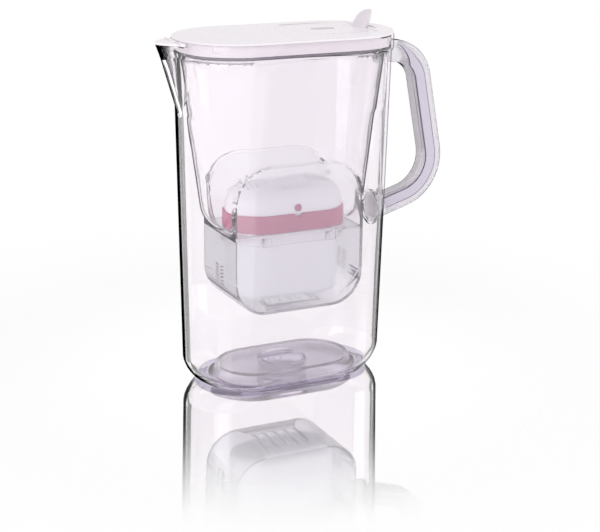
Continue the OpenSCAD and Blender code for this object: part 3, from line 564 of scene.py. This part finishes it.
class PITCHER_OT_handle(bpy.types.Operator):
    """Makes the clear handle and its two side inlays"""

    bl_idname = "pitcher.handle"
    bl_label = "Handle"

    line_start: flat_point("Upper root", "Where the grip's middle line starts, in X and Z", (0.09294, 0.2497))
    corner_top: flat_point("Upper corner", "Corner of the middle line at the top", (0.11394, 0.246))
    corner_low: flat_point("Lower corner", "Corner of the middle line at the bottom", (0.13427, 0.1412))
    line_end: flat_point("Lower root", "Where the grip's middle line ends, in X and Z", (0.08697, 0.1269))
    bend_top: length("Upper bend", "Radius of the middle line's upper bend", 26 * MM)
    bend_low: length("Lower bend", "Radius of the middle line's lower bend", 33 * MM)
    band_in: length("Band's inner edge", "From the middle line to the inlay's inner edge", 6.74 * MM)
    band_out: length("Band's outer edge", "From the middle line to the inlay's outer edge", 5.34 * MM)
    band_middle: length("Band's middle seam", "From the middle line to the end of the band", 1.7 * MM)
    seam_shadow_width: length("Seam", "Width of the shadow along the coloured band", 0.5 * MM)
    face_y: length("Inlay's face", "From the middle of the grip to the inlay's face", 7.8 * MM)
    inlay_depth: length("Inlay's depth", "Thickness of the inlay", 1.2 * MM)
    inside: flat_point("Opening", "Middle of the handle's opening, in X and Z", (0.1, 0.195))
    root_x: length("Roots", "X up to which the roots are let into the jug", 88 * MM)
    bend_steps: IntProperty(name="Bend steps", description="Steps round each bend", default=20, min=6)
    taper_steps: IntProperty(name="Taper steps", description="Rows over which the inlay widens",
                             default=11, min=1)

    inlay_finishes = ("inlay", "seam", "handle")
    columns = ("seam", "inlay", "seam", "handle")

    def band(self):
        """The strip that an inlay shows: painted shadow line, coloured band, painted shadow line and a clear
        strip, along the grip.
        """
        route = (self.line_start, self.corner_top, self.corner_low, self.line_end)
        points = [Vector((x, 0, z)) for x, z in route]
        ahead = (points[1] - points[0]).normalized()
        across = Vector((-ahead.z, 0, ahead.x))
        offsets = (-self.band_in, self.seam_shadow_width - self.band_in,
                   self.band_middle - self.seam_shadow_width, self.band_middle, self.band_out)
        bm = bmesh.new()
        rows = [[bm.verts.new(points[0] + across * offset) for offset in offsets]]
        for pair in zip(rows[0], rows[0][1:]):
            bm.edges.new(pair)
        at = points[0]
        radii = (self.bend_top, self.bend_low)
        for before, corner, after, radius in zip(points, points[1:], points[2:], radii):
            back = (before - corner).normalized()
            on = (after - corner).normalized()
            half_angle = back.angle(on) / 2
            start = corner + back * (radius / tan(half_angle))
            centre = corner + (back + on).normalized() * (radius / sin(half_angle))
            turn = Matrix.Rotation((pi - 2 * half_angle) / self.bend_steps, 4, "Y")
            self.onward(bm, rows, Matrix.Translation(start - at))
            for _ in range(self.bend_steps):
                self.onward(bm, rows, Matrix.Translation(centre) @ turn @ Matrix.Translation(-centre))
            at = corner + on * (radius / tan(half_angle))
        self.onward(bm, rows, Matrix.Translation(points[3] - at))
        for step, row in enumerate(rows[:self.taper_steps]):
            for vert in row[:-1]:
                vert.co = row[-1].co.lerp(vert.co, step / self.taper_steps)
        return bm

    def onward(self, bm, rows, move):
        """Extrudes the last row of the strip and moves the new row."""
        old = rows[-1]
        edges = [bm.edges.get(pair) for pair in zip(old, old[1:])]
        fresh = new_verts(bmesh.ops.extrude_edge_only(bm, edges=edges)["geom"])
        row = [min(fresh, key=lambda v: (v.co - before.co).length) for before in old]
        for finish, pair in zip(self.columns, zip(row, row[1:])):
            bm.edges.get(pair).link_faces[0].material_index = self.inlay_finishes.index(finish)
        bmesh.ops.transform(bm, matrix=move, verts=row)
        rows.append(row)

    def finish_at(self, face):
        middle = face.calc_center_median()
        inwards = Vector((self.inside[0], 0, self.inside[1])) - Vector((middle.x, 0, middle.z))
        inner = face.normal.dot(inwards) > 0 and abs(face.normal.y) < SLIGHTLY and middle.x > self.root_x
        return "grip_inside" if inner else "handle"

    def execute(self, context):
        bm = merged_copy("handle")
        finishes = ("handle", "grip_inside")
        paint(bm, finishes, self.finish_at)
        dress(bm, "handle_grip", "jug_body", finishes, "handle")
        for side, way in (("front", -1), ("rear", 1)):
            bm = self.band()
            bmesh.ops.translate(bm, verts=bm.verts, vec=(0, way * (self.face_y - self.inlay_depth), 0))
            raised = new_verts(bmesh.ops.extrude_face_region(bm, geom=bm.faces[:])["geom"])
            bmesh.ops.translate(bm, verts=raised, vec=(0, way * self.inlay_depth, 0))
            bmesh.ops.remove_doubles(bm, verts=bm.verts, dist=MERGE)
            bmesh.ops.recalc_face_normals(bm, faces=bm.faces)
            dress(bm, "grip_inlay_" + side, "jug_body", self.inlay_finishes,
                  "handle_inlay_" + side)
        return {"FINISHED"}


class PITCHER_OT_funnel(bpy.types.Operator):
    """Makes the drop-in funnel and the milky pocket under it"""

    bl_idname = "pitcher.funnel"
    bl_label = "Funnel and pocket"

    flange: length("Flange", "Height of the underside of the funnel's flange", 256.4 * MM)
    floor_depth: length("Floor depth", "Height over the pocket in which the funnel's floor lies", 3 * MM)
    panel_inset: length("Panel inset", "How far the arched panels lie inside the pocket's front", 3 * MM)
    panel_drop: length("Panel drop", "How far the arched panels reach below the pocket's top", 6 * MM)
    pocket_wall: length("Pocket wall", "Thickness of the pocket's ends", 1.8 * MM)
    vent_reach: length("Vent reach", "From the middle of the pocket's ends to the last vent", 26 * MM)
    vent_bottom: length("Vent bottom", "From the pocket's underside to the vents", 8 * MM)
    vent_top: length("Vent top", "From the pocket's top to the vents", 4 * MM)
    seat_gap: length("Seat gap", "Air between the funnel's flange and the jug's ledge", 0.05 * MM)

    def funnel_finish(self, face):
        low, high = pocket_low, pocket_high
        middle = face.calc_center_median()
        along = low.x < middle.x < high.x
        over = along and low.y < middle.y < high.y and middle.z < high.z + self.floor_depth
        panel = (abs(face.normal.y) > EXACTLY
                 and high.y - self.panel_inset < abs(middle.y) < high.y + TOUCH)
        # The flange's faces take the painted dark line of the ledge
        if min(v.co.z for v in face.verts) > self.flange:
            return "ledge"
        if over and abs(face.normal.z) > MOSTLY and middle.z > high.z - TOUCH:
            return "joint" if middle.z < high.z + TOUCH else "milky_floor"
        if panel and along and middle.z > high.z - self.panel_drop:
            return "milky"
        return "funnel"

    def pocket_finish(self, face):
        low, high = pocket_low, pocket_high
        middle = face.calc_center_median()
        in_wall = high.x - self.pocket_wall < abs(middle.x) < high.x - TOUCH
        at_vents = low.z + self.vent_bottom < middle.z < high.z - self.vent_top
        if middle.z > high.z - TOUCH and face.normal.z > MOSTLY:
            return "joint"
        # The vents' side walls take the painted shade
        if in_wall and abs(face.normal.x) < HARDLY and at_vents:
            return "vent" if abs(middle.y) < self.vent_reach else "milky"
        if abs(face.normal.z) > HALF:
            return "milky_floor"
        return "milky"

    def execute(self, context):
        for node, name, slot, finishes, finish_at in (
            ("funnel", "funnel_shell", "clear_plastic",
             ("funnel", "milky", "ledge", "milky_floor", "joint"), self.funnel_finish),
            ("filter_pocket", "pocket_shell", "milky_plastic",
             ("milky", "vent", "milky_floor", "joint"), self.pocket_finish),
        ):
            bm = merged_copy(node)
            paint(bm, finishes, finish_at)
            bmesh.ops.translate(bm, verts=bm.verts, vec=(0, 0, self.seat_gap))
            dress(bm, name, "funnel_body", finishes, node)
        return {"FINISHED"}


class PITCHER_OT_cartridge(bpy.types.Operator):
    """Makes the oval cartridge, its pink seal and what is inside it"""

    bl_idname = "pitcher.cartridge"
    bl_label = "Cartridge"

    def execute(self, context):
        skin("cartridge_cup", "cup_shell", "cartridge", "cartridge")
        skin("cartridge_dome", "dome_shell", "cartridge", "cartridge")
        skin("seal_ring", "silicone_seal", "cartridge", "seal")
        skin("vent_button", "silicone_button", "cartridge", "seal")
        skin("inlet_sieve", "sieve_top", "cartridge", "sieve")
        skin("outlet_sieve", "sieve_bottom", "cartridge", "sieve")
        skin("filter_granulate", "granule_bed", "cartridge", "granules")
        return {"FINISHED"}


class PITCHER_OT_lid(bpy.types.Operator):
    """Makes the lid's crowned cover, its inner ring and the two hinge pins"""

    bl_idname = "pitcher.lid"
    bl_label = "Lid"

    def execute(self, context):
        skin("lid_cover", "lid_crown", "lid", "lid")
        skin("lid_ring", "lid_skirt", "lid", "lid")
        skin("fill_flap_pin", "flap_pin", "lid", "steel")
        skin("spout_flap_pin", "tongue_pin", "lid", "steel")
        return {"FINISHED"}


class PITCHER_OT_flaps(bpy.types.Operator):
    """Makes the fill flap with its lever and indicator, and the spout's tongue"""

    bl_idname = "pitcher.flaps"
    bl_label = "Flaps"

    def execute(self, context):
        skin("fill_flap", "flip_flap_plate", "flip_flap", "lid")
        skin("thumb_lever", "petal_lever", "flip_flap", "lever")
        skin("indicator_housing", "indicator_case", "flip_flap", "lid")
        skin("indicator_window", "indicator_lens", "flip_flap", "window")
        skin("spout_flap", "spout_tongue", "spout_cover", "lid")
        return {"FINISHED"}


# Stage


def highlight_glow_in_gloss(floor, place, stage):
    """Strength of the glow. Gloss sees a brighter sheet, with one straight edge towards the right: a painted
    highlight, since the patch glows only in reflections.
    """
    from_start = add_node(floor, "VectorMath", (-1000, -300), operation="SUBTRACT")
    from_start.inputs[1].default_value = (*stage.sheet_start, 0)
    wire(floor, place, from_start.inputs[0])
    past_edge = add_node(floor, "VectorMath", (-900, -300), operation="DOT_PRODUCT")
    past_edge.inputs[1].default_value = (sin(stage.sheet_edge), -cos(stage.sheet_edge), 0)
    wire(floor, from_start.outputs["Vector"], past_edge.inputs[0])
    blur = 4 * MM
    bright = remap(floor, past_edge.outputs["Value"], (-blur, blur), (0.0, 1.0), (-700, -300))
    in_gloss = both(floor, bright, any_ray(floor, "Glossy"), place=(-500, -300))
    return remap(floor, in_gloss, (0.0, 1.0), (1.0, stage.highlight_glow_level), (-300, -300))


def floor_material(stage):
    """White sheet that mirrors what stands on it, less and less with distance, and glows brighter in gloss on
    one side, as a painted highlight.
    """
    floor = new_material("Floor")
    place = add_node(floor, "TexCoord", (-1100, 0)).outputs["Object"]
    from_middle = add_node(floor, "VectorMath", (-900, 0), operation="LENGTH")
    wire(floor, place, from_middle.inputs[0])
    reach = from_middle.outputs["Value"]
    sheet = set_inputs(add_node(floor, "BsdfDiffuse"), {"Color": rgba((0.95, 0.95, 0.95))})
    glow = set_inputs(add_node(floor, "Emission", (0, -200)), {"Color": WHITE})
    # Painted highlight: the glow is brighter in gloss past the patch's edge
    wire(floor, highlight_glow_in_gloss(floor, place, stage), glow.inputs["Strength"])
    evenness = remap(floor, reach, (0.1, 0.5), (0.7, 1.0), (-500, 200), "SMOOTHSTEP")
    seen = any_ray(floor, "Camera", "Transmission", "Glossy")
    lit = mix_shaders(floor, both(floor, seen, evenness), sheet, glow, (200, 0))
    mirror = set_inputs(add_node(floor, "BsdfGlossy", (200, -300)), {"Color": WHITE, "Roughness": 0.03})
    fade_from = 0.42 * stage.mirror_reach
    fade = remap(floor, reach, (fade_from, stage.mirror_reach), (stage.mirror, 0.0), curve="SMOOTHSTEP")
    mirrored = both(floor, fade, any_ray(floor, "Camera", "Transmission"), place=(400, 200))
    show(floor, mix_shaders(floor, mirrored, lit, mirror, (600, 0)))
    return floor


def make_world(stage):
    """Even light from all round, and a white that the camera, gloss and clear plastic see instead."""
    world = bpy.data.worlds.new("Studio")
    bpy.context.scene.world = world
    world.use_nodes = True
    world.node_tree.nodes.clear()
    sky = set_inputs(add_node(world, "Background"), {"Color": WHITE, "Strength": stage.sky})
    backdrop = set_inputs(add_node(world, "Background", (0, -200)), {"Color": WHITE, "Strength": 1.0})
    seen = any_ray(world, "Camera", "Glossy", "Transmission")
    show(world, mix_shaders(world, seen, sky, backdrop, (400, 0)), "OutputWorld")


def area_lamp(name, place, size, power):
    """A soft lamp that shines on the middle of the pitcher."""
    data = bpy.data.lights.new(name, "AREA")
    data.shape = "RECTANGLE"
    data.size, data.size_y = size
    data.energy = power
    made = bpy.data.objects.new(name, data)
    made.location = place
    target = Vector((0, 0, 0.15))
    made.rotation_euler = (target - Vector(place)).to_track_quat("-Z", "Y").to_euler()
    bpy.context.scene.collection.objects.link(made)


def make_camera(stage):
    turn, pitch, roll = stage.camera_turn, stage.camera_pitch, stage.camera_roll
    ahead = Vector((sin(turn) * cos(pitch), cos(turn) * cos(pitch), -sin(pitch)))
    right = Vector((cos(turn), -sin(turn), 0))
    up = right.cross(ahead)
    place = right * stage.aim_side + Vector((0, 0, stage.aim_height)) - ahead * stage.camera_distance
    across = right * cos(roll) + up * sin(roll)
    upward = up * cos(roll) - right * sin(roll)
    data = bpy.data.cameras.new("Camera")
    data.sensor_fit = "HORIZONTAL"
    data.sensor_width = 36
    data.lens = stage.lens
    data.clip_start, data.clip_end = 0.05, 20
    made = bpy.data.objects.new("Camera", data)
    axes = Matrix((across, upward, -ahead)).transposed()
    made.matrix_world = Matrix.Translation(place) @ axes.to_4x4()
    bpy.context.scene.collection.objects.link(made)
    bpy.context.scene.camera = made


class PITCHER_OT_stage(bpy.types.Operator):
    """Makes the pale mirror floor, the soft lamps and the camera"""

    bl_idname = "pitcher.stage"
    bl_label = "Stage"

    floor_size: length("Floor size", "Size of the grid that the floor is made of", 4)
    floor_drop: length("Floor drop", "Air between the jug's underside and the floor", 0.1 * MM)

    def execute(self, context):
        stage = context.scene.pitcher_stage
        bm = bmesh.new()
        bmesh.ops.create_grid(bm, x_segments=1, y_segments=1, size=self.floor_size)
        bmesh.ops.translate(bm, verts=bm.verts, vec=(0, 0, -self.floor_drop))
        floor = to_object(bm, "floor_sheet")
        floor.data.materials.append(floor_material(stage))
        make_world(stage)
        area_lamp("softbox_left", place=(-0.9, -0.75, 0.55), size=(0.7, 1.1), power=stage.key)
        area_lamp("fill_right", place=(0.9, -0.6, 0.6), size=(0.6, 0.9), power=stage.fill)
        make_camera(stage)
        context.scene.view_settings.view_transform = "Standard"
        return {"FINISHED"}


class PITCHER_PT_panel(bpy.types.Panel):
    """Lists the pieces, in the order in which they are made"""

    bl_idname = "PITCHER_PT_panel"
    bl_label = "Water filter pitcher"
    bl_space_type = "VIEW_3D"
    bl_region_type = "UI"
    bl_category = "Pitcher"

    def draw(self, context):
        for operator in OPERATORS:
            self.layout.operator(operator.bl_idname)


OPERATORS = (PITCHER_OT_jug, PITCHER_OT_handle, PITCHER_OT_funnel, PITCHER_OT_cartridge, PITCHER_OT_lid,
             PITCHER_OT_flaps, PITCHER_OT_stage)
CLASSES = (PitcherPlastics, PitcherStage, *OPERATORS, PITCHER_PT_panel)


def register():
    for each in CLASSES:
        bpy.utils.register_class(each)
    bpy.types.Scene.pitcher_plastics = PointerProperty(type=PitcherPlastics)
    bpy.types.Scene.pitcher_stage = PointerProperty(type=PitcherStage)


def unregister():
    del bpy.types.Scene.pitcher_stage
    del bpy.types.Scene.pitcher_plastics
    for each in reversed(CLASSES):
        bpy.utils.unregister_class(each)


def main():
    register()
    for operator in OPERATORS:
        group, name = operator.bl_idname.split(".")
        getattr(getattr(bpy.ops, group), name)()


if __name__ == "__main__":
    for leftover in [o for o in bpy.data.objects if o.name in ("Cube", "Light", "Camera")]:
        bpy.data.objects.remove(leftover)
    main()
